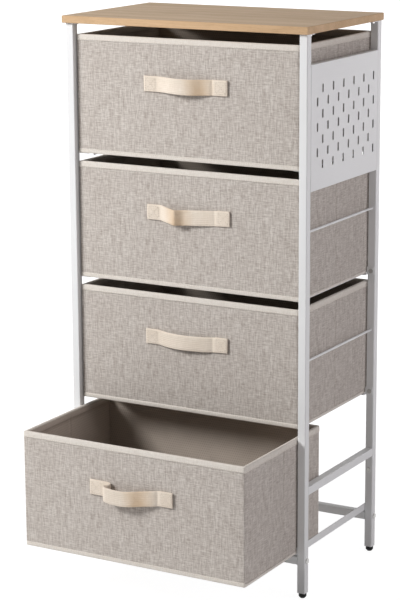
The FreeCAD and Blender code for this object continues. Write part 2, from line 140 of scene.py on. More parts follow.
# Each strap lies as it was last left. Its places are (along, off, down) in millimetres: from the middle
# between its ends, off the level of its sewn ends, and down from the line between them.
STRAP_LIES = {
    1: ((-53, 0, 0), (-47, 1.2, 0), (-38, 3.8, 0), (-27, 7.4, 0.2), (-16, 9.8, 0.5), (-4, 10.8, 0.8),
        (8, 10.2, 1), (16, 8.6, 1), (23, 6.2, 0.9), (29.5, 3.8, 0.8), (36, 2.2, 0.6), (42, 1.2, 0.4),
        (46, 0.4, 0.2), (49.5, -1, 0), (53, 0, 0)),
    2: ((-53, 0, 0), (-46, 2.6, 0.5), (-30, 9.2, 2.4), (-21, 12.6, 3.5), (-18.4, 12.6, 3.7),
        (-15.4, 10.4, 3.8), (-11, 7.4, 3.9), (-5.5, 5, 3.8), (6, 3.6, 3.2), (24, 2, 2.3), (42, 0.2, 1.4),
        (49, -1, 1.1), (54, 0, 0.7)),
    3: ((-54, 0, 0), (-44, 2, 0.9), (-30, 4.6, 1.9), (-12, 6.2, 2.4), (6, 6, 2.4), (24, 4.2, 2.2),
        (40, 1.4, 1.8), (49, -1, 1.3), (54, 0, 0.8)),
    4: ((-52, 0, 0), (-43, 0.1, 0.2), (-37.5, 1.8, 1), (-38.5, 4.8, 2), (-43.5, 8, 3), (-45.5, 10.6, 3.8),
        (-41, 12.6, 5), (-32, 12.9, 6.4), (-22, 12.9, 7.2), (-10, 12.6, 7.4), (2, 11.4, 6.4), (11, 9.2, 5.4),
        (19, 6.6, 4.4), (28, 4.6, 3.3), (38, 3, 2.1), (45, 1, 1.3), (49.5, -1, 0.7), (54, 0, 0.2)),
}
# Where painted shade tans and darkens each most, on the stretch of its loop that faces away from the key
# light, in millimetres along it from its middle. 400 is nowhere on it.
STRAP_SHADE_AT = {1: 29, 2: -13, 3: 400, 4: 40}

# ---- noise: where a piece's own waves start, and how far on the next drawer's do ----
COVER_NOISE = (0.0, 3.1)
LINING_NOISE = (11.7, 2.3)
RIM_TAPE_NOISE = (23.0, 1.0)
BASE_TAPE_NOISE = (31.0, 1.0)

# ---- camera ----
CAMERA_AZIMUTH = 29.854
CAMERA_ELEVATION = 13.079
CAMERA_ROLL = -0.36
CAMERA_AIM_X = -0.0471          # aims at this place in the slab's middle plane
CAMERA_AIM_Z = 0.4458
CAMERA_DISTANCE = 3.5042
CAMERA_LENS = 123.51
CAMERA_SENSOR = 36.0

# ---- studio: azimuth and elevation in degrees, distance and size in metres, power in watts ----
SKY_STRENGTH = 0.15
SOFTBOXES = {
    "key_softbox": {"azimuth": -46, "elevation": 30, "distance": 3.0, "size": 0.9, "power": 91},
    "side_softbox": {"azimuth": 90, "elevation": 15, "distance": 3.0, "size": 1.6, "power": 25.5,
                     "color": (1.0, 0.955, 0.995)},
    "back_softbox": {"azimuth": 175, "elevation": 5, "distance": 3.0, "size": 1.6, "power": 28},
}
FLOOR_SIZE = 60.0
FLOOR_TONE = 0.8
FLOOR_GLOW = 1.22
FLOOR_GLOW_SHARE = 0.78         # of what the camera sees of the floor near the object
FLOOR_FADE = (0.5, 1.3)         # distances over which the floor turns to plain white


# ======== node drawing ========

class Net:
    """A shader tree being drawn. Each call places one node, links what it is given and returns its output."""

    def __init__(self, tree):
        self.tree = tree

    def fill(self, node, inputs):
        """Links the inputs that are sockets, sets the others, and gives the node's outputs."""
        for key, value in inputs.items():
            if isinstance(value, bpy.types.NodeSocket):
                self.tree.links.new(value, node.inputs[key])
            else:
                node.inputs[key].default_value = value
        return node.outputs

    def put(self, kind, inputs=None, out=0, **settings):
        node = self.tree.nodes.new("ShaderNode" + kind)
        for key, value in settings.items():
            setattr(node, key, value)
        return self.fill(node, inputs or {})[out]

    def math(self, operation, *values):
        return self.put("Math", dict(enumerate(values)), operation=operation)

    def vector(self, operation, *values):
        return self.put("VectorMath", dict(enumerate(values)), operation=operation)

    def scaled(self, vector, factors):
        """The vector with each axis times its own factor."""
        return self.vector("MULTIPLY", vector, factors)

    def ramp(self, value, low, high, to_low=0.0, to_high=1.0):
        """The value from low..high brought to to_low..to_high, and held there beyond."""
        inputs = {"Value": value, "From Min": low, "From Max": high, "To Min": to_low, "To Max": to_high}
        return self.put("MapRange", inputs)

    def mix(self, factor, first, second):
        inputs = {0: factor, 6: first, 7: second}
        return self.put("Mix", inputs, out=2, data_type="RGBA")

    def noise(self, vector, scale, detail=2.0, roughness=0.5, **settings):
        inputs = {"Vector": vector, "Scale": scale, "Detail": detail, "Roughness": roughness}
        return self.put("TexNoise", inputs, **settings)

    def axes(self, vector):
        split = self.put("SeparateXYZ", {0: vector}).node
        return split.outputs[0], split.outputs[1], split.outputs[2]

    def group(self, tree, inputs):
        node = self.tree.nodes.new("ShaderNodeGroup")
        node.node_tree = tree
        return self.fill(node, inputs)

    def bump(self, height, strength, distance):
        return self.put("Bump", {"Height": height, "Strength": strength, "Distance": distance})


def shader_group(name, inputs, outputs, draw):
    """A node group with named inputs {name: (type, default)} and outputs {name: type}."""
    tree = bpy.data.node_groups.new(name, "ShaderNodeTree")
    for label, (kind, default) in inputs.items():
        socket = tree.interface.new_socket(label, in_out="INPUT", socket_type="NodeSocket" + kind)
        if default is not None:
            socket.default_value = default
    for label, kind in outputs.items():
        tree.interface.new_socket(label, in_out="OUTPUT", socket_type="NodeSocket" + kind)
    given = tree.nodes.new("NodeGroupInput").outputs
    end = tree.nodes.new("NodeGroupOutput")
    for label, socket in draw(Net(tree), given).items():
        tree.links.new(socket, end.inputs[label])
    return tree


# ======== shared effects ========

def draw_plain_weave(net, given):
    """Threads of one pitch crossing over and under each other."""
    along, across, _ = net.axes(given["Vector"])
    warp = net.math("DIVIDE", along, given["Pitch"])
    weft = net.math("DIVIDE", across, given["Pitch"])

    def crown(position):
        centred = net.math("MULTIPLY_ADD", net.math("FRACT", position), 2.0, -1.0)
        return net.math("SUBTRACT", 1.0, net.math("MULTIPLY", centred, centred))

    crossing = net.math("ADD", net.math("FLOOR", warp), net.math("FLOOR", weft))
    over = net.math("FLOORED_MODULO", crossing, 2.0)
    warp_height = net.math("MULTIPLY", crown(warp), net.ramp(over, 0, 1, 0.55, 1.0))
    weft_height = net.math("MULTIPLY", crown(weft), net.ramp(over, 0, 1, 1.0, 0.55))
    return {
        "Height": net.math("MAXIMUM", warp_height, weft_height),
        "Warp": net.math("GREATER_THAN", warp_height, weft_height),
    }


def draw_slub_tone(net, given):
    """Uneven yarn: thick and thin, light and dark stretches along both thread directions."""
    along, across, _ = net.axes(given["Vector"])

    def streaks(lengthwise, crosswise, seed):
        x = net.math("DIVIDE", lengthwise, given["Length"])
        y = net.math("DIVIDE", crosswise, given["Width"])
        place = net.put("CombineXYZ", {0: x, 1: y, 2: seed})
        return net.noise(place, 1.0, detail=2.5, roughness=0.65)

    weft = streaks(along, across, 0.0)
    warp = streaks(across, along, 7.3)
    both = net.math("ADD", weft, warp)
    return {"Tone": net.ramp(both, 0.62, 1.38), "Weft": weft, "Warp": warp}


def draw_felt_dots(net, given):
    """Bonded felt with a grid of pressed dots, one row set half a pitch off the next."""
    along, across, _ = net.axes(given["Vector"])
    row = net.math("DIVIDE", across, given["Pitch"])
    shift = net.math("MULTIPLY", net.math("FLOORED_MODULO", net.math("FLOOR", row), 2.0), 0.5)
    column = net.math("ADD", net.math("DIVIDE", along, given["Pitch"]), shift)
    x = net.math("SUBTRACT", net.math("FRACT", column), 0.5)
    y = net.math("SUBTRACT", net.math("FRACT", row), 0.5)
    apart = net.math("SQRT", net.math("ADD", net.math("MULTIPLY", x, x), net.math("MULTIPLY", y, y)))
    return {"Dot": net.ramp(apart, 0.16, 0.34, 1.0, 0.0)}


def draw_fine_grain(net, given):
    """Fine skin of paint, moulded plastic or paper: a Height for bump and a slow Tone."""
    skin = net.noise(given["Vector"], given["Scale"], detail=3.0)
    slow = net.noise(given["Vector"], 9.0, detail=3.0, roughness=0.6)
    return {"Height": skin, "Tone": slow}


def draw_wood_grain(net, given):
    """Long fibres along X: broad bands, fine streaks and short dark pores."""
    bend = net.noise(net.scaled(given["Vector"], (2.2, 9.0, 9.0)), 1.0, detail=2.0)
    bent = net.vector("ADD", given["Vector"], net.scaled(bend, (0.0, 0.055, 0.055)))
    bands = net.noise(net.scaled(bent, (1.6, 46.0, 46.0)), 1.0, detail=2.0)
    streaks = net.noise(net.scaled(bent, (9.0, 420.0, 420.0)), 1.0, detail=3.0)
    pores = net.noise(net.scaled(bent, (70.0, 1500.0, 1500.0)), 1.0, detail=1.0)
    return {"Band": net.ramp(bands, 0.3, 0.7), "Streak": net.ramp(streaks, 0.3, 0.7),
            "Pore": net.ramp(pores, 0.62, 0.74)}


PLAIN_WEAVE = shader_group(
    "plain_weave", {"Vector": ("Vector", None), "Pitch": ("Float", 1 * MM)},
    {"Height": "Float", "Warp": "Float"}, draw_plain_weave)
SLUB_TONE = shader_group(
    "slub_tone", {"Vector": ("Vector", None), "Width": ("Float", 1.5 * MM), "Length": ("Float", 15 * MM)},
    {"Tone": "Float", "Weft": "Float", "Warp": "Float"}, draw_slub_tone)
FELT_DOTS = shader_group(
    "felt_dots", {"Vector": ("Vector", None), "Pitch": ("Float", 2 * MM)}, {"Dot": "Float"}, draw_felt_dots)
FINE_GRAIN = shader_group(
    "fine_grain", {"Vector": ("Vector", None), "Scale": ("Float", 900.0)},
    {"Height": "Float", "Tone": "Float"}, draw_fine_grain)
WOOD_GRAIN = shader_group(
    "wood_grain", {"Vector": ("Vector", None)},
    {"Band": "Float", "Streak": "Float", "Pore": "Float"}, draw_wood_grain)


# ======== finishes ========

def finish_of(name, draw, **constants):
    """A material with one Principled shader: draw(net) gives its linked inputs, constants its fixed ones."""
    material = bpy.data.materials.new(name)
    material.use_nodes = True
    tree = material.node_tree
    shader = tree.nodes["Principled BSDF"]
    for key, value in constants.items():
        shader.inputs[key.replace("_", " ")].default_value = value
    for key, socket in draw(Net(tree)).items():
        tree.links.new(socket, shader.inputs[key])
    return material


def cloth_place(net):
    return net.put("UVMap", uv_map=THREADS)


def object_place(net):
    return net.put("TexCoord", out="Object")


def draw_woven_cover(net):
    """Heathered linen-look cloth: warm grey, cross-hatched by pale and brown yarns, with painted shade in the
    gaps between its threads.
    """
    place = cloth_place(net)
    weave = net.group(PLAIN_WEAVE, {"Vector": place, "Pitch": 0.95 * MM})
    broad = net.group(SLUB_TONE, {"Vector": place, "Width": 2.1 * MM, "Length": 38 * MM})
    fine = net.group(SLUB_TONE, {"Vector": place, "Width": 1.35 * MM, "Length": 13 * MM})
    cloud = net.noise(place, 14.0, detail=2.0)
    yarn = net.mix(net.ramp(broad["Tone"], 0.2, 0.8), (0.475, 0.424, 0.382, 1), (0.59, 0.542, 0.498, 1))
    fleck = net.ramp(fine["Tone"], 0.22, 0.5, 0.6, 0.0)
    yarn = net.mix(fleck, yarn, (0.29, 0.236, 0.205, 1))
    pale = net.ramp(fine["Tone"], 0.5, 0.78, 0.0, 0.6)
    yarn = net.mix(pale, yarn, (0.76, 0.715, 0.665, 1))
    # Painted shade: the weave's gaps, where its threads dip lowest, are darkened.
    gap_shade = net.ramp(weave["Height"], 0.1, 0.6, 0.26, 0.0)
    yarn = net.mix(gap_shade, yarn, (0.30, 0.245, 0.21, 1))
    yarn = net.mix(net.ramp(cloud, 0.3, 0.7, 0.0, 0.1), yarn, (0.43, 0.37, 0.335, 1))
    height = net.math("ADD", weave["Height"], net.math("MULTIPLY", fine["Tone"], 0.8))
    return {"Base Color": yarn, "Normal": net.bump(height, 0.5, 0.25 * MM),
            "Roughness": net.ramp(broad["Tone"], 0, 1, 0.97, 0.86)}


def draw_dark_lining(net):
    """Taupe bonded felt with pressed dots, a paler folded hem along the top."""
    place = cloth_place(net)
    _, down, _ = net.axes(place)
    dots = net.group(FELT_DOTS, {"Vector": place, "Pitch": 4.2 * MM})
    fibre = net.noise(place, 900.0, detail=3.0)
    cloud = net.noise(place, 16.0, detail=3.0)
    felt = net.mix(net.ramp(cloud, 0.3, 0.7), (0.40, 0.338, 0.286, 1), (0.48, 0.41, 0.35, 1))
    felt = net.mix(net.ramp(fibre, 0.35, 0.7, 0.0, 0.35), felt, (0.56, 0.49, 0.43, 1))
    felt = net.mix(net.math("MULTIPLY", dots["Dot"], 0.38), felt, (0.23, 0.198, 0.172, 1))
    hem = net.ramp(down, HEM_DEPTH - 0.3 * MM, HEM_DEPTH + 0.3 * MM, 0.4, 0.0)
    felt = net.mix(hem, felt, (0.56, 0.50, 0.44, 1))
    height = net.math("SUBTRACT", net.math("MULTIPLY", fibre, 0.5), dots["Dot"])
    return {"Base Color": felt, "Normal": net.bump(height, 0.5, 0.2 * MM),
            "Roughness": net.ramp(fibre, 0, 1, 0.7, 0.95)}


def draw_binding_tape(net):
    """Ribbed cream tape: fine cross ribs and a soft selvedge tone, with painted shade in the weave's gaps."""
    place = cloth_place(net)
    weave = net.group(PLAIN_WEAVE, {"Vector": place, "Pitch": 0.7 * MM})
    slub = net.group(SLUB_TONE, {"Vector": place, "Width": 1.6 * MM, "Length": 8 * MM})
    cream = net.mix(slub["Tone"], (0.66, 0.60, 0.535, 1), (0.80, 0.755, 0.70, 1))
    # Painted shade: darker where the weave's threads dip lowest.
    cream = net.mix(net.ramp(weave["Height"], 0.1, 0.6, 0.3, 0.0), cream, (0.5, 0.44, 0.38, 1))
    return {"Base Color": cream, "Normal": net.bump(weave["Height"], 0.5, 0.2 * MM),
            "Roughness": net.ramp(slub["Tone"], 0, 1, 0.95, 0.85)}


def draw_cotton_webbing(net):
    """Thick cream cotton webbing: lengthwise ribs over a plain weave, painted shade in the weave's gaps and
    the ribs' troughs, and a painted tan shade where its loop turns away from the key light.
    """
    place = cloth_place(net)
    from_shade, across, _ = net.axes(place)
    weave = net.group(PLAIN_WEAVE, {"Vector": place, "Pitch": 1.15 * MM})
    slub = net.group(SLUB_TONE, {"Vector": place, "Width": 1.4 * MM, "Length": 12 * MM})
    rib = net.math("SINE", net.math("MULTIPLY", across, 2 * math.pi / STRAP_RIB))
    # Noise for real soiling, also used to break up the painted shade.
    soil_and_shade = net.noise(place, 30.0, detail=2.0)
    cream = net.mix(slub["Tone"], (0.765, 0.662, 0.55, 1), (0.88, 0.787, 0.685, 1))
    # Painted shade: darker in the weave's gaps and in the troughs between the ribs.
    cream = net.mix(net.ramp(weave["Height"], 0.1, 0.6, 0.22, 0.0), cream, (0.56, 0.465, 0.36, 1))
    cream = net.mix(net.ramp(rib, -1.0, -0.3, 0.2, 0.0), cream, (0.58, 0.48, 0.375, 1))
    cream = net.mix(net.ramp(soil_and_shade, 0.4, 0.75, 0.0, 0.3), cream, (0.66, 0.55, 0.44, 1))
    # Painted shade: a tan darkening where the loop faces away from the key light, broken up by the soiling
    # noise.
    painted_shade = net.ramp(net.math("ABSOLUTE", from_shade), *STRAP_SHADE_FADE, 0.85, 0.0)
    painted_shade = net.math("MULTIPLY", painted_shade, net.ramp(soil_and_shade, 0.3, 0.6, 0.7, 1.0))
    cream = net.mix(painted_shade, cream, (0.68, 0.50, 0.33, 1))
    height = net.math("ADD", weave["Height"], net.math("MULTIPLY", rib, 0.6))
    return {"Base Color": cream, "Normal": net.bump(height, 0.55, 0.3 * MM),
            "Roughness": net.ramp(slub["Tone"], 0, 1, 0.95, 0.84)}


def draw_sewing_thread(net):
    """Twisted thread, a shade darker than what it sews."""
    x, y, z = net.axes(object_place(net))
    turns = net.math("MULTIPLY", net.math("ADD", net.math("ADD", x, y), z), 2 * math.pi / THREAD_TWIST)
    twist = net.math("SINE", turns)
    thread = net.mix(net.ramp(twist, -1, 1), (0.50, 0.42, 0.34, 1), (0.70, 0.62, 0.53, 1))
    return {"Base Color": thread, "Roughness": net.ramp(twist, -1, 1, 0.8, 0.6)}


def draw_powder_coat(net):
    """White powder coat: faint orange peel, a breath of tone from batch and handling."""
    grain = net.group(FINE_GRAIN, {"Vector": object_place(net), "Scale": 700.0})
    paint = net.mix(grain["Tone"], (0.75, 0.75, 0.755, 1), (0.80, 0.80, 0.80, 1))
    return {"Base Color": paint, "Normal": net.bump(grain["Height"], 0.12, 0.15 * MM),
            "Roughness": net.ramp(grain["Tone"], 0.3, 0.7, 0.36, 0.48)}


def draw_black_plastic(net):
    """Moulded feet, finely grained."""
    grain = net.group(FINE_GRAIN, {"Vector": object_place(net), "Scale": 1500.0})
    black = net.mix(grain["Tone"], (0.006, 0.006, 0.006, 1), (0.012, 0.012, 0.012, 1))
    return {"Base Color": black, "Normal": net.bump(grain["Height"], 0.2, 0.1 * MM),
            "Roughness": net.ramp(grain["Height"], 0.3, 0.7, 0.34, 0.5)}


def draw_zinc_steel(net):
    """Bright zinc with a slightly cloudy passivated skin."""
    grain = net.group(FINE_GRAIN, {"Vector": object_place(net), "Scale": 2600.0})
    zinc = net.mix(grain["Height"], (0.42, 0.415, 0.40, 1), (0.60, 0.595, 0.58, 1))
    return {"Base Color": zinc, "Roughness": net.ramp(grain["Height"], 0.3, 0.7, 0.28, 0.46)}


def draw_wood_slab(net):
    """Light oak foil on the faces, with a plain matching band round the edges. The foil's darker, greyer tone
    is partly painted shade, for the top catching less light than the edges.
    """
    place = object_place(net)
    x, y, _ = net.axes(place)
    grain = net.group(WOOD_GRAIN, {"Vector": place})
    # Partly painted shade: the foil is set darker and greyer than the band, standing in for the top taking
    # less light than the edges.
    foil_and_shade = net.mix(grain["Band"], (0.515, 0.364, 0.233, 1), (0.624, 0.461, 0.307, 1))
    band = net.mix(grain["Band"], (0.565, 0.375, 0.215, 1), (0.665, 0.455, 0.275, 1))
    slab_low, slab_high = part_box("tabletop")
    middle = (slab_low + slab_high) / 2
    half = (slab_high - slab_low) / 2
    from_side = net.math("SUBTRACT", half.x, net.math("ABSOLUTE", net.math("SUBTRACT", x, middle.x)))
    from_front = net.math("SUBTRACT", half.y, net.math("ABSOLUTE", net.math("SUBTRACT", y, middle.y)))
    from_edge = net.math("MINIMUM", from_side, from_front)
    from_joint = net.math("SUBTRACT", from_edge, SLAB_BAND)
    joint = net.math("SUBTRACT", 1.5, net.math("DIVIDE", net.math("ABSOLUTE", from_joint), SLAB_JOINT))
    wood = net.mix(net.ramp(from_joint, -SLAB_JOINT / 2, SLAB_JOINT / 2), band, foil_and_shade)
    streak = net.scaled(wood, (0.72, 0.68, 0.62))
    wood = net.mix(net.math("MULTIPLY", grain["Streak"], 0.35), wood, streak)
    pore = net.scaled(wood, (0.5, 0.44, 0.38))
    wood = net.mix(net.math("MULTIPLY", grain["Pore"], 0.4), wood, pore)
    wood = net.mix(net.ramp(joint, 0, 1, 0, 0.3), wood, (0.25, 0.16, 0.09, 1))
    return {"Base Color": wood, "Normal": net.bump(grain["Pore"], 0.15, -0.1 * MM),
            "Roughness": net.ramp(grain["Streak"], 0, 1, 0.5, 0.64)}


def draw_board(net, dark, light):
    """Pressed board: mottled paper fibres."""
    grain = net.group(FINE_GRAIN, {"Vector": object_place(net), "Scale": 420.0})
    paper = net.mix(grain["Height"], dark, light)
    return {"Base Color": paper, "Normal": net.bump(grain["Height"], 0.3, 0.2 * MM),
            "Roughness": net.ramp(grain["Tone"], 0, 1, 0.8, 0.95)}


BOARD_TONES = {
    "grey_board": ((0.30, 0.29, 0.27, 1), (0.42, 0.40, 0.37, 1)),
    "lined_board": ((0.19, 0.165, 0.145, 1), (0.27, 0.238, 0.21, 1)),
}
WOVEN_COVER = finish_of(
    "woven_cover", draw_woven_cover, Sheen_Weight=0.12, Sheen_Roughness=0.6, Specular_IOR_Level=0.2)
DARK_LINING = finish_of("dark_lining", draw_dark_lining, Specular_IOR_Level=0.1)
BINDING_TAPE = finish_of("binding_tape", draw_binding_tape, Sheen_Weight=0.1, Specular_IOR_Level=0.2)
COTTON_WEBBING = finish_of("cotton_webbing", draw_cotton_webbing, Sheen_Weight=0.12, Specular_IOR_Level=0.2)
SEWING_THREAD = finish_of("sewing_thread", draw_sewing_thread, Specular_IOR_Level=0.3)
FRAME_FINISHES = {
    "white_powder_coat": finish_of("powder_coat", draw_powder_coat, Specular_IOR_Level=0.35),
    "black_plastic": finish_of("foot_plastic", draw_black_plastic, Specular_IOR_Level=0.15),
    "zinc_steel": finish_of("zinc_plate", draw_zinc_steel, Metallic=1.0),
    "wood_slab": finish_of("oak_slab", draw_wood_slab, Specular_IOR_Level=0.15),
}
for board, (dark, light) in BOARD_TONES.items():
    FRAME_FINISHES[board] = finish_of(f"{board}_face", partial(draw_board, dark=dark, light=light))


# ======== mesh drawing ========

class Station:
    """A place on the plan outline of a drawer: where it is, which way is out, and how far round it lies."""

    def __init__(self, x, y, out, run, radius, from_corner, from_fold):
        self.x, self.y, self.out, self.run = x, y, out, run
        self.radius = radius                # of the nearest corner
        self.from_corner = from_corner
        self.from_fold = from_fold


def even_steps(start, end, step, extra=()):
    """Values from start to end at about that step, with the extra ones in their order."""
    count = max(1, round(abs(end - start) / step))
    values = [start + (end - start) * i / count for i in range(count + 1)]
    kept = [v for v in values if all(abs(v - e) > step / 3 for e in extra) or v in (start, end)]
    return sorted(kept + list(extra), reverse=end < start)


def plan_stations(low, high, radii):
    """Stations round a rounded rectangle, counterclockwise from above, from the middle of its rear. The radii
    are those of its rear left, front left, front right and rear right corners."""
    centre = Vector(((low.x + high.x) / 2, (low.y + high.y) / 2))
    fold = [centre.y + k * FOLD_WIDTH for k in (-2, -1, -0.5, 0, 0.5, 1, 2)]
    corners = [Vector((x + (radius if x == low.x else -radius), y + (radius if y == low.y else -radius)))
               for x, y, radius in zip((low.x, low.x, high.x, high.x), (high.y, low.y, low.y, high.y), radii)]
    rear_left, front_left, front_right, rear_right = corners
    walls = [
        (Vector((0, 1)), [(x, high.y) for x in even_steps(centre.x, rear_left.x, CLOTH_STEP)]),
        (Vector((-1, 0)), [(low.x, y) for y in even_steps(rear_left.y, front_left.y, CLOTH_STEP, fold)]),
        (Vector((0, -1)), [(x, low.y) for x in even_steps(front_left.x, front_right.x, CLOTH_STEP)]),
        (Vector((1, 0)), [(high.x, y) for y in even_steps(front_right.y, rear_right.y, CLOTH_STEP, fold)]),
        (Vector((0, 1)), [(x, high.y) for x in even_steps(rear_right.x, centre.x, CLOTH_STEP)][:-1]),
    ]
    plan = []
    for index, (out, places) in enumerate(walls):
        sideways = out.x != 0
        for x, y in places:
            from_corner = min(y - low.y, high.y - y) if sideways else min(x - low.x, high.x - x)
            plan.append((Vector((x, y)), out, from_corner, abs(y - centre.y) if sideways else 1.0))
        if index < len(corners):
            turned = walls[index + 1][0]
            for i in range(1, CORNER_STEPS + 1):
                angle = math.pi / 2 * i / (CORNER_STEPS + 1)
                lean = out * math.cos(angle) + turned * math.sin(angle)
                plan.append((corners[index] + lean * radii[index], lean, 0.0, 1.0))
    stations = []
    run = 0.0
    for i, (place, out, from_corner, from_fold) in enumerate(plan):
        if i:
            run += (place - plan[i - 1][0]).length
        nearest = min(range(len(corners)), key=lambda c: (corners[c] - place).length)
        stations.append(Station(place.x, place.y, out, run, radii[nearest], from_corner, from_fold))
    return stations


def outer_stations(number):
    """The plan of a drawer's outer cloth."""
    low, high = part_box(f"drawer_{number}_cover")
    return plan_stations(low, high, [radius * MM for radius in CORNER_RADII[number]])


class Surface:
    """Points, faces and cloth coordinates gathered before they become a mesh."""

    def __init__(self):
        self.points, self.faces, self.uvs = [], [], []

    def grid(self, rows, row_uvs):
        """Faces between rows of points, each row a closed loop. Gives the first point's number."""
        first = len(self.points)
        width = len(rows[0])
        for row in rows:
            self.points.extend(row)
        for i in range(len(rows) - 1):
            for j in range(width):
                k = (j + 1) % width
                corners = ((i, j, j), (i, k, j + 1), (i + 1, k, j + 1), (i + 1, j, j))
                self.faces.append([first + r * width + c for r, c, _ in corners])
                self.uvs.extend(row_uvs[r][u] for r, _, u in corners)
        return first

    def last_row(self, row):
        """The numbers of the newest points, as many as the row has."""
        return list(range(len(self.points) - len(row), len(self.points)))

    def cap(self, indices, uv):
        """One face over those points, with its cloth coordinates from uv(point)."""
        self.faces.append(indices)
        self.uvs.extend(uv(self.points[i]) for i in indices)

    def piece(self, number, name, finish, slot, node=None):
        """A named piece that rides on its drawer, and stands in for one of the drawer's nodes if given."""
        drawer = f"drawer_{number}"
        mesh = bpy.data.meshes.new(f"{drawer}_{name}")
        mesh.from_pydata(self.points, [], self.faces)
        layer = mesh.uv_layers.new(name=THREADS)
        layer.data.foreach_set("uv", [value for uv in self.uvs for value in uv])
        mesh.polygons.foreach_set("use_smooth", [True] * len(mesh.polygons))
        mesh.materials.append(finish)
        mesh.validate()
        made = bpy.data.objects.new(f"{drawer}_{name}", mesh)
        bpy.context.scene.collection.objects.link(made)
        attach(made, drawer)
        if node:
            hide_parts(f"{drawer}_{node}")
        return made


def offset_place(station, out, low, high):
    """A station moved outward, or inward past the corner radius without the corners crossing."""
    if out >= -station.radius:
        return station.x + station.out.x * out, station.y + station.out.y * out
    inset = -out
    x = min(max(station.x, low.x + inset), high.x - inset)
    y = min(max(station.y, low.y + inset), high.y - inset)
    return x, y


def eased(value):
    """0 to 1 with soft ends."""
    t = min(max(value, 0.0), 1.0)
    return t * t * (3 - 2 * t)


def wavy(x, y, z, size, seed):
    """Smooth noise from -1 to 1 that changes over about that size."""
    return noise.noise(Vector((x / size + seed, y / size - seed, z / size + 0.37 * seed)))


def billow(station, z, waves, seed):
    """How far stretched cloth swells there, from 0 where it lies tight to a little over 1."""
    slow, quick, share = waves
    swell = 0.5 + 0.9 * wavy(station.x, station.y, z, slow, seed)
    return max(swell + share * wavy(station.x, station.y, z, quick, seed), 0.0)


def bump_of(distance, reach):
    """1 on a line, and falling off smoothly over about that reach from it."""
    return math.exp(-((distance / reach) ** 2))


def noise_seed(waves, number):
    """Where a drawer's own waves start."""
    start, step = waves
    return start + step * number


def wrapped_surface(stations, low, high, profile, relief, closed=False):
    """Cloth round a drawer. profile holds (out, height) pairs across it, and relief(station, out, z) gives
    its extra (out, height) there. A closed profile ends where it starts."""
    surface = Surface()
    across = [0.0]
    for (out_a, z_a), (out_b, z_b) in zip(profile, profile[1:]):
        across.append(across[-1] + math.hypot(out_b - out_a, z_b - z_a))
    runs = [s.run for s in stations]
    closing = math.dist((stations[-1].x, stations[-1].y), (stations[0].x, stations[0].y))
    runs.append(runs[-1] + closing)
    rows, row_uvs = [], []
    for (out, z), distance in zip(profile, across):
        row = []
        for station in stations:
            extra_out, extra_z = relief(station, out, z)
            x, y = offset_place(station, out + extra_out, low, high)
            row.append((x, y, z + extra_z))
        rows.append(row)
        row_uvs.append([(run, distance) for run in runs])
    if closed:
        rows.append(rows[0])
        row_uvs.append([(run, across[-1] + TAPE_EDGE_RUN) for run in runs])
    surface.grid(rows, row_uvs)
    return surface


def tidy_mesh(piece, skin=None):
    """Welds doubled points, turns the faces outward, and gives single cloth its thickness."""
    mesh = bmesh.new()
    mesh.from_mesh(piece.data)
    bmesh.ops.remove_doubles(mesh, verts=mesh.verts, dist=1e-6)
    bmesh.ops.recalc_face_normals(mesh, faces=mesh.faces)
    mesh.to_mesh(piece.data)
    mesh.free()
    if skin:
        solid = piece.modifiers.new("skin", "SOLIDIFY")
        solid.thickness = skin
        solid.offset = -1.0


# ======== drawers ========

def drawer_cover(number):
    """Outer cloth: four walls and the underside, a crease in each side and soft billows between seams."""
    low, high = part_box(f"drawer_{number}_cover")
    stations = outer_stations(number)
    seed = noise_seed(COVER_NOISE, number)
    profile = [(0.0, z) for z in even_steps(high.z, low.z + COVER_BASE_ROUND, CLOTH_STEP)]
    profile += [(-0.45 * COVER_BASE_ROUND, low.z + 0.35 * COVER_BASE_ROUND), (-COVER_BASE_ROUND, low.z),
                (-COVER_UNDER_LIP, low.z)]

    def relief(station, out, z):
        if out < 0:
            return 0.0, 0.0
        held = eased(station.from_corner / BOUND_EDGE) * eased(min(high.z - z, z - low.z) / BOUND_EDGE)
        crease = bump_of(station.from_fold, FOLD_WIDTH)
        swell = COVER_BILLOW * held * billow(station, z, COVER_WAVES, seed) * (1 - crease)
        from_binding = min(abs(high.z - RIM_SEAM_DROP - z), abs(z - low.z - BASE_SEAM_RISE))
        near_binding = bump_of(from_binding, PUCKER_REACH) * eased(station.from_corner / PUCKER_REACH)
        gather = 0.5 + wavy(station.x, station.y, z, PUCKER_PITCH, seed + 5)
        pucker = PUCKER_DEPTH * near_binding * max(gather, 0.0)
        seam = SEAM_PROUD * bump_of(math.hypot(station.x - low.x, station.y - low.y), SEAM_REACH)
        return swell + pucker + seam - FOLD_DEPTH * crease * held, 0.0

    surface = wrapped_surface(stations, low, high, profile, relief)
    surface.cap(surface.last_row(stations), lambda p: (p[0], p[1]))
    tidy_mesh(surface.piece(number, "cloth", WOVEN_COVER, "woven_cover", "cover"), COVER_SKIN)


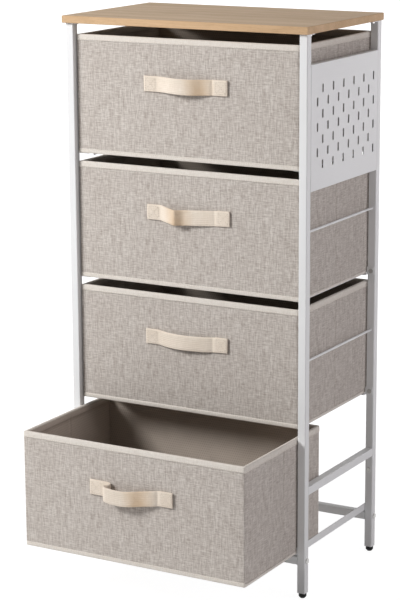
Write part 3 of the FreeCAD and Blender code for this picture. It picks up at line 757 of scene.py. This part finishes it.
def drawer_lining(number):
    """Inner felt: walls with a folded hem under the rim and a crease in each side, and the floor."""
    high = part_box(f"drawer_{number}_lining")[1]
    cover_low, cover_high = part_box(f"drawer_{number}_cover")
    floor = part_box(f"drawer_{number}_base_board")[0].z
    face = cover_high.x - high.x + LINING_SKIN
    inner_low = Vector((cover_low.x + face, cover_low.y + face, floor))
    inner_high = Vector((cover_high.x - face, cover_high.y - face, high.z - LINING_TOP_DROP))
    top = inner_high.z
    stations = plan_stations(inner_low, inner_high, [LINING_CORNER] * 4)
    for station in stations:
        station.out = -station.out
    seed = noise_seed(LINING_NOISE, number)
    hem_end = top - HEM_DEPTH
    profile = [(HEM_PROUD, z) for z in even_steps(top, hem_end, CLOTH_STEP / 2)]
    profile += [(LINING_PROUD, z) for z in even_steps(hem_end - HEM_STEP, floor, CLOTH_STEP)]

    def relief(station, out, z):
        below_rim = eased((top - z) / BOUND_EDGE)
        held = eased(station.from_corner / BOUND_EDGE) * eased((z - floor) / BOUND_EDGE) * below_rim
        crease = bump_of(station.from_fold, FOLD_WIDTH)
        swell = LINING_BILLOW * held * billow(station, z, LINING_WAVES, seed) * (1 - crease)
        return swell - LINING_FOLD_DEPTH * crease * below_rim, 0.0

    surface = wrapped_surface(stations, inner_low, inner_high, profile, relief)
    surface.cap(surface.last_row(stations), lambda p: (p[0], p[1] + FLOOR_CLOTH_SHIFT))
    tidy_mesh(surface.piece(number, "felt", DARK_LINING, "dark_lining", "lining"), LINING_SKIN)


def drawer_rim_tape(number):
    """Binding folded over the rim: a leg outside, a rounded top and a short leg inside."""
    cover_low, cover_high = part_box(f"drawer_{number}_cover")
    low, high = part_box(f"drawer_{number}_rim_tape")
    lining_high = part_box(f"drawer_{number}_lining")[1]
    stations = outer_stations(number)
    wall = cover_high.x - lining_high.x + 2 * LINING_SKIN
    proud = high.x - cover_high.x
    top, foot = high.z, low.z
    seed = noise_seed(RIM_TAPE_NOISE, number)
    outside = [(proud, foot), (proud, foot + 1.5 * MM), (proud, foot + 5 * MM), (proud, top - 2.2 * MM),
               (0.75 * proud, top - 1.0 * MM), (-0.2 * wall, top - 0.15 * MM), (-0.5 * wall, top),
               (-0.8 * wall, top - 0.2 * MM), (-wall - 0.5 * proud, top - 1.2 * MM),
               (-wall - proud, top - TAPE_INNER_LEG)]
    inside = [(-wall - proud + TAPE_SKIN, top - TAPE_INNER_LEG), (-wall, top - 1.5 * MM),
              (-0.5 * wall, top - TAPE_SKIN), (-0.1 * wall, top - 0.9 * MM),
              (proud - TAPE_SKIN, top - 2.4 * MM), (proud - TAPE_SKIN, foot)]

    def relief(station, out, z):
        calm = eased(station.from_corner / CORNER_CALM)
        sag = RIM_SAG * wavy(station.x, station.y, 0.0, RIM_SAG_WAVE, seed + 2) * calm
        if out <= 0:
            return 0.0, sag
        edge = eased((foot + RIM_TAPE_EDGE - z) / RIM_TAPE_EDGE)
        wander = wavy(station.x, station.y, 0.0, RIM_TAPE_WAVE, seed) * TAPE_EDGE_WANDER
        pucker = PUCKER_DEPTH * (0.5 + wavy(station.x, station.y, 0.0, PUCKER_PITCH, seed)) * edge
        return max(pucker, 0.0) * calm, wander * edge + sag

    surface = wrapped_surface(stations, cover_low, cover_high, outside + inside, relief, closed=True)
    tidy_mesh(surface.piece(number, "rim_binding", BINDING_TAPE, "binding_tape", "rim_tape"))


def drawer_base_tape(number):
    """Binding round the base edge: tall at the front, narrow at the sides and rear, turned in underneath."""
    cover_low, cover_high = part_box(f"drawer_{number}_cover")
    low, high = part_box(f"drawer_{number}_base_tape")
    stations = outer_stations(number)
    proud = high.x - cover_high.x
    foot, tall = low.z, high.z - low.z
    seed = noise_seed(BASE_TAPE_NOISE, number)
    outside = [(proud, foot + tall), (proud, foot + 0.55 * tall), (proud, foot + 1.1 * MM),
               (0.5 * proud, foot + 0.3 * MM), (-0.6 * MM, foot), (-BASE_TAPE_LIP, foot)]
    inside = [(-BASE_TAPE_LIP, foot + TAPE_SKIN), (-0.4 * MM, foot + TAPE_SKIN),
              (proud - TAPE_SKIN, foot + 1.3 * MM), (proud - TAPE_SKIN, foot + 0.55 * tall),
              (proud - TAPE_SKIN, foot + tall)]

    def relief(station, out, z):
        front = eased((cover_low.y + BASE_TAPE_TURN - station.y) / BASE_TAPE_TURN)
        height = BASE_TAPE_SIDE + (tall - BASE_TAPE_SIDE) * front
        share = (z - foot) / tall
        wander = wavy(station.x, station.y, 0.0, BASE_TAPE_WAVE, seed) * TAPE_EDGE_WANDER * eased(share)
        return 0.0, (height - tall) * share + wander

    surface = wrapped_surface(stations, cover_low, cover_high, outside + inside, relief, closed=True)
    tidy_mesh(surface.piece(number, "base_binding", BINDING_TAPE, "binding_tape", "base_tape"))


# ======== straps ========

def marks_along(points):
    """How far along a line each of its points lies."""
    marks = [0.0]
    for a, b in zip(points, points[1:]):
        marks.append(marks[-1] + (b - a).length)
    return marks


def place_along(points, marks, distance):
    """The place at that distance along a line, and the number of the point before it."""
    before = min(bisect_left(marks, distance, 1), len(marks) - 1) - 1
    share = (distance - marks[before]) / max(marks[before + 1] - marks[before], 1e-9)
    return points[before].lerp(points[before + 1], share), before


def smooth_line(points, step):
    """Places at an even step along a Catmull-Rom curve through the points."""
    dense = []
    ends = [points[0] * 2 - points[1]] + list(points) + [points[-1] * 2 - points[-2]]
    for a, b, c, d in zip(ends, ends[1:], ends[2:], ends[3:]):
        for i in range(CURVE_STEPS):
            t = i / CURVE_STEPS
            dense.append(0.5 * (2 * b + (c - a) * t + (2 * a - 5 * b + 4 * c - d) * t ** 2
                                + (3 * b - a - 3 * c + d) * t ** 3))
    dense.append(points[-1])
    marks = marks_along(dense)
    count = round(marks[-1] / step)
    return [place_along(dense, marks, marks[-1] * i / count)[0] for i in range(count + 1)]


def strap_section(width, thickness):
    """Outline of webbing across its width, with rounded selvedges: (across, out) pairs."""
    half, depth = width / 2, thickness / 2
    outline = [(-half + depth, depth)]
    outline += [(half * k / 3, depth) for k in (-2, -1, 0, 1, 2)]
    outline += [(half - depth, depth), (half, 0.4 * depth), (half, -0.4 * depth), (half - depth, -depth)]
    outline += [(half * k / 3, -depth) for k in (2, 1, 0, -1, -2)]
    outline += [(-half + depth, -depth), (-half, -0.4 * depth), (-half, 0.4 * depth)]
    return outline


def webbing(surface, line, width, thickness, shade_at, middle_x, centre_z, face_y):
    """Sweeps webbing along places (along, off, down), wide way upright. Its map counts from where its painted
    shade lies.
    """
    section = strap_section(width, thickness)
    rows, row_uvs = [], []
    run = line[0].x - shade_at
    for i, place in enumerate(line):
        ahead = line[min(i + 1, len(line) - 1)] - line[max(i - 1, 0)]
        outward = Vector((-ahead.y, ahead.x)).normalized()
        if i:
            run += (place - line[i - 1]).length
        row = []
        for across, out in section:
            x = middle_x + place.x + outward.x * out
            y = face_y - place.y - outward.y * out
            row.append((x, y, centre_z - place.z + across))
        rows.append(row)
        row_uvs.append([(run, across) for across, _ in section] + [(run, section[0][0])])
    first = surface.grid(rows, row_uvs)
    size = len(section)
    surface.cap([first + j for j in range(size)], lambda p: (p[0], p[2]))
    surface.cap([first + (len(rows) - 1) * size + j for j in reversed(range(size))], lambda p: (p[0], p[2]))


def stitch(surface, start, end, lift):
    """One sewn stitch: a short spindle that dips into the cloth at both ends."""
    along = end - start
    middle = (start + end) / 2
    axis = along.normalized()
    side = axis.cross(lift).normalized()
    rings = []
    for share in (-STITCH_BELLY, STITCH_BELLY):
        centre = middle + along * share + lift * STITCH_RADIUS * 0.6
        ring = []
        for k in range(STITCH_SIDES):
            angle = 2 * math.pi * k / STITCH_SIDES
            ring.append(centre + (side * math.cos(angle) + lift * math.sin(angle)) * STITCH_RADIUS * 0.9)
        rings.append(ring)
    tips = [start - lift * STITCH_RADIUS * 0.4, end - lift * STITCH_RADIUS * 0.4]
    first = len(surface.points)
    surface.points.extend([*tips, *rings[0], *rings[1]])
    for k in range(STITCH_SIDES):
        a, b = first + 2 + k, first + 2 + (k + 1) % STITCH_SIDES
        c, d = a + STITCH_SIDES, b + STITCH_SIDES
        for face in ((first, b, a), (a, b, d, c), (first + 1, c, d)):
            surface.faces.append(face)
            surface.uvs.extend((0.0, 0.0) for _ in face)


def stitch_line(surface, places, lifts):
    """Stitches at an even pitch along a line, each lifted off the cloth as lifts say at the line's points."""
    marks = marks_along(places)
    count = int(marks[-1] / STITCH_PITCH)
    spare = (marks[-1] - (count - 1) * STITCH_PITCH - STITCH_LENGTH) / 2
    for i in range(count):
        begin = spare + i * STITCH_PITCH
        start, before = place_along(places, marks, begin)
        end, _ = place_along(places, marks, begin + STITCH_LENGTH)
        stitch(surface, start, end, lifts[before])


def strap_seat(number):
    """Where a strap is sewn: its middle (x, z), half its length, its width, and the cloth's face there."""
    low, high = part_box(f"drawer_{number}_handle")
    face_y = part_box(f"drawer_{number}_cover")[0].y - COVER_BILLOW * STRAP_SINK
    middle_x = (low.x + high.x) / 2 + STRAP_SHIFTS[number] * MM
    return middle_x, (low.z + high.z) / 2, (high.x - low.x) / 2, high.z - low.z, face_y


def drawer_strap(number):
    """Pull strap of cotton webbing: a loose loop between two sewn ends that are folded in under it."""
    middle_x, centre_z, half, width, face_y = strap_seat(number)
    level = STRAP_UNDER + STRAP_SKIN / 2
    shade_at = STRAP_SHADE_AT[number] * MM
    flat = half - STRAP_FLAT
    line = [Vector((along * MM, level + off * MM, down * MM)) for along, off, down in STRAP_LIES[number]]
    line = [Vector((-half, level, 0)), Vector((-flat, level, 0)), *line]
    line += [Vector((flat, level, 0)), Vector((half, level, 0))]
    surface = Surface()
    webbing(surface, smooth_line(line, STRAP_STEP), width, STRAP_SKIN, shade_at, middle_x, centre_z, face_y)
    for side in (-1, 1):
        ends = sorted((side * (half - STRAP_UNDER_INSET), side * (half - STRAP_PATCH)))
        under = [Vector((along, STRAP_UNDER / 2, 0.0)) for along in even_steps(*ends, STRAP_STEP)]
        webbing(surface, under, width - STRAP_UNDER_INSET, STRAP_UNDER, shade_at, middle_x, centre_z, face_y)
    tidy_mesh(surface.piece(number, "strap", COTTON_WEBBING, "cotton_webbing", "handle"))


def drawer_stitching(number):
    """All the sewing of one drawer: both bindings and the boxed crosses of the strap ends."""
    surface = Surface()
    cover_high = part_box(f"drawer_{number}_cover")[1]
    rim_low, rim_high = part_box(f"drawer_{number}_rim_tape")
    base_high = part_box(f"drawer_{number}_base_tape")[1]
    stations = outer_stations(number)
    closed = stations + stations[:1]
    proud = rim_high.x - cover_high.x
    height = rim_low.z + TAPE_STITCH_INSET
    places = [Vector((s.x + s.out.x * proud, s.y + s.out.y * proud, height)) for s in closed]
    stitch_line(surface, places, [Vector((s.out.x, s.out.y, 0.0)) for s in closed])
    front = [s for s in stations if s.out == Vector((0, -1))]
    height = base_high.z - TAPE_STITCH_INSET
    places = [Vector((s.x, s.y - proud, height)) for s in front]
    lift = Vector((0.0, -1.0, 0.0))
    stitch_line(surface, places, [lift] * len(front))
    middle_x, centre_z, half, width, face_y = strap_seat(number)
    outer = half - STRAP_STITCH_INSET
    inner = half - STRAP_PATCH + STRAP_STITCH_INSET
    up = width / 2 - STRAP_STITCH_INSET
    for side in (-1, 1):
        corners = [Vector((middle_x + side * along, face_y - STRAP_UNDER - STRAP_SKIN, centre_z + rise))
                   for along, rise in ((inner, -up), (outer, -up), (outer, up), (inner, up))]
        stitch_line(surface, corners + corners[:1], [lift] * 5)
        stitch_line(surface, [corners[0], corners[2]], [lift] * 2)
        stitch_line(surface, [corners[1], corners[3]], [lift] * 2)
    surface.piece(number, "stitching", SEWING_THREAD, "binding_tape")


def dress_drawers():
    for number in DRAWERS:
        drawer_cover(number)
        drawer_lining(number)
        drawer_rim_tape(number)
        drawer_base_tape(number)
        drawer_strap(number)
        drawer_stitching(number)


def finish_frame():
    """Gives each construction node the finish that its material slot names."""
    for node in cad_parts.values():
        for place in node.material_slots:
            name = place.material.name
            if name in FRAME_FINISHES:
                place.material = FRAME_FINISHES[name]


# ======== stage ========

def seen_directly(net):
    """1 for rays that show the stage itself, 0 for the ones that carry its light."""
    path = net.put("LightPath").node.outputs
    seen = net.math("MAXIMUM", path["Is Camera Ray"], path["Is Glossy Ray"])
    return net.math("MAXIMUM", seen, path["Is Transmission Ray"])


def pale_floor():
    """A wide pale floor that keeps the object's shadow and turns plain white away from it."""
    half = FLOOR_SIZE / 2
    mesh = bpy.data.meshes.new("floor")
    corners = [(-half, -half, 0), (half, -half, 0), (half, half, 0), (-half, half, 0)]
    mesh.from_pydata(corners, [], [(0, 1, 2, 3)])
    floor = bpy.data.objects.new("floor", mesh)
    bpy.context.scene.collection.objects.link(floor)
    material = bpy.data.materials.new("pale_floor")
    material.use_nodes = True
    tree = material.node_tree
    tree.nodes.clear()
    net = Net(tree)
    plain = net.put("BsdfDiffuse", {"Color": (FLOOR_TONE, FLOOR_TONE, FLOOR_TONE, 1)})
    glow = net.put("Emission", {"Color": (1, 1, 1, 1), "Strength": FLOOR_GLOW})
    away = net.put("VectorMath", {0: object_place(net)}, out="Value", operation="LENGTH")
    share = net.ramp(away, *FLOOR_FADE, FLOOR_GLOW_SHARE, 1.0)
    both = net.put("MixShader", {0: net.math("MULTIPLY", seen_directly(net), share), 1: plain, 2: glow})
    output = tree.nodes.new("ShaderNodeOutputMaterial")
    tree.links.new(both, output.inputs["Surface"])
    mesh.materials.append(material)


def toward(azimuth, elevation):
    """Unit vector from the object towards a viewer at that azimuth and elevation, in degrees."""
    a, e = math.radians(azimuth), math.radians(elevation)
    return Vector((math.sin(a) * math.cos(e), -math.cos(a) * math.cos(e), math.sin(e)))


def softbox(name, azimuth, elevation, distance, size, power, color=(1.0, 1.0, 1.0)):
    """A square area lamp that faces the middle of the object."""
    light = bpy.data.lights.new(name, "AREA")
    light.color = color
    light.shape = "SQUARE"
    light.size = size
    light.energy = power
    lamp = bpy.data.objects.new(name, light)
    bpy.context.scene.collection.objects.link(lamp)
    back = toward(azimuth, elevation)
    middle = (cad_box[0] + cad_box[1]) / 2
    lamp.location = middle + back * distance
    lamp.rotation_euler = back.to_track_quat("Z", "Y").to_euler()


def studio():
    world = bpy.data.worlds.new("studio")
    world.use_nodes = True
    tree = world.node_tree
    background = tree.nodes["Background"]
    background.inputs["Color"].default_value = (1, 1, 1, 1)
    net = Net(tree)
    tree.links.new(net.ramp(seen_directly(net), 0, 1, SKY_STRENGTH, 1.0), background.inputs["Strength"])
    bpy.context.scene.world = world
    for name, placing in SOFTBOXES.items():
        softbox(name, **placing)
    bpy.context.scene.view_settings.view_transform = "Standard"


def place_camera():
    back = toward(CAMERA_AZIMUTH, CAMERA_ELEVATION)
    right = (-back).cross(Vector((0, 0, 1))).normalized()
    up = back.cross(right)
    roll = math.radians(CAMERA_ROLL)
    rolled_right = right * math.cos(roll) + up * math.sin(roll)
    rolled_up = up * math.cos(roll) - right * math.sin(roll)
    slab_low, slab_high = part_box("tabletop")
    aim = Vector((CAMERA_AIM_X, (slab_low.y + slab_high.y) / 2, CAMERA_AIM_Z))
    data = bpy.data.cameras.new("camera")
    data.sensor_width = CAMERA_SENSOR
    data.lens = CAMERA_LENS
    camera = bpy.data.objects.new("camera", data)
    bpy.context.scene.collection.objects.link(camera)
    turned = Matrix((rolled_right, rolled_up, back)).transposed().to_4x4()
    camera.matrix_world = Matrix.Translation(aim + back * CAMERA_DISTANCE) @ turned
    bpy.context.scene.camera = camera


finish_frame()
dress_drawers()
pale_floor()
studio()
place_camera()
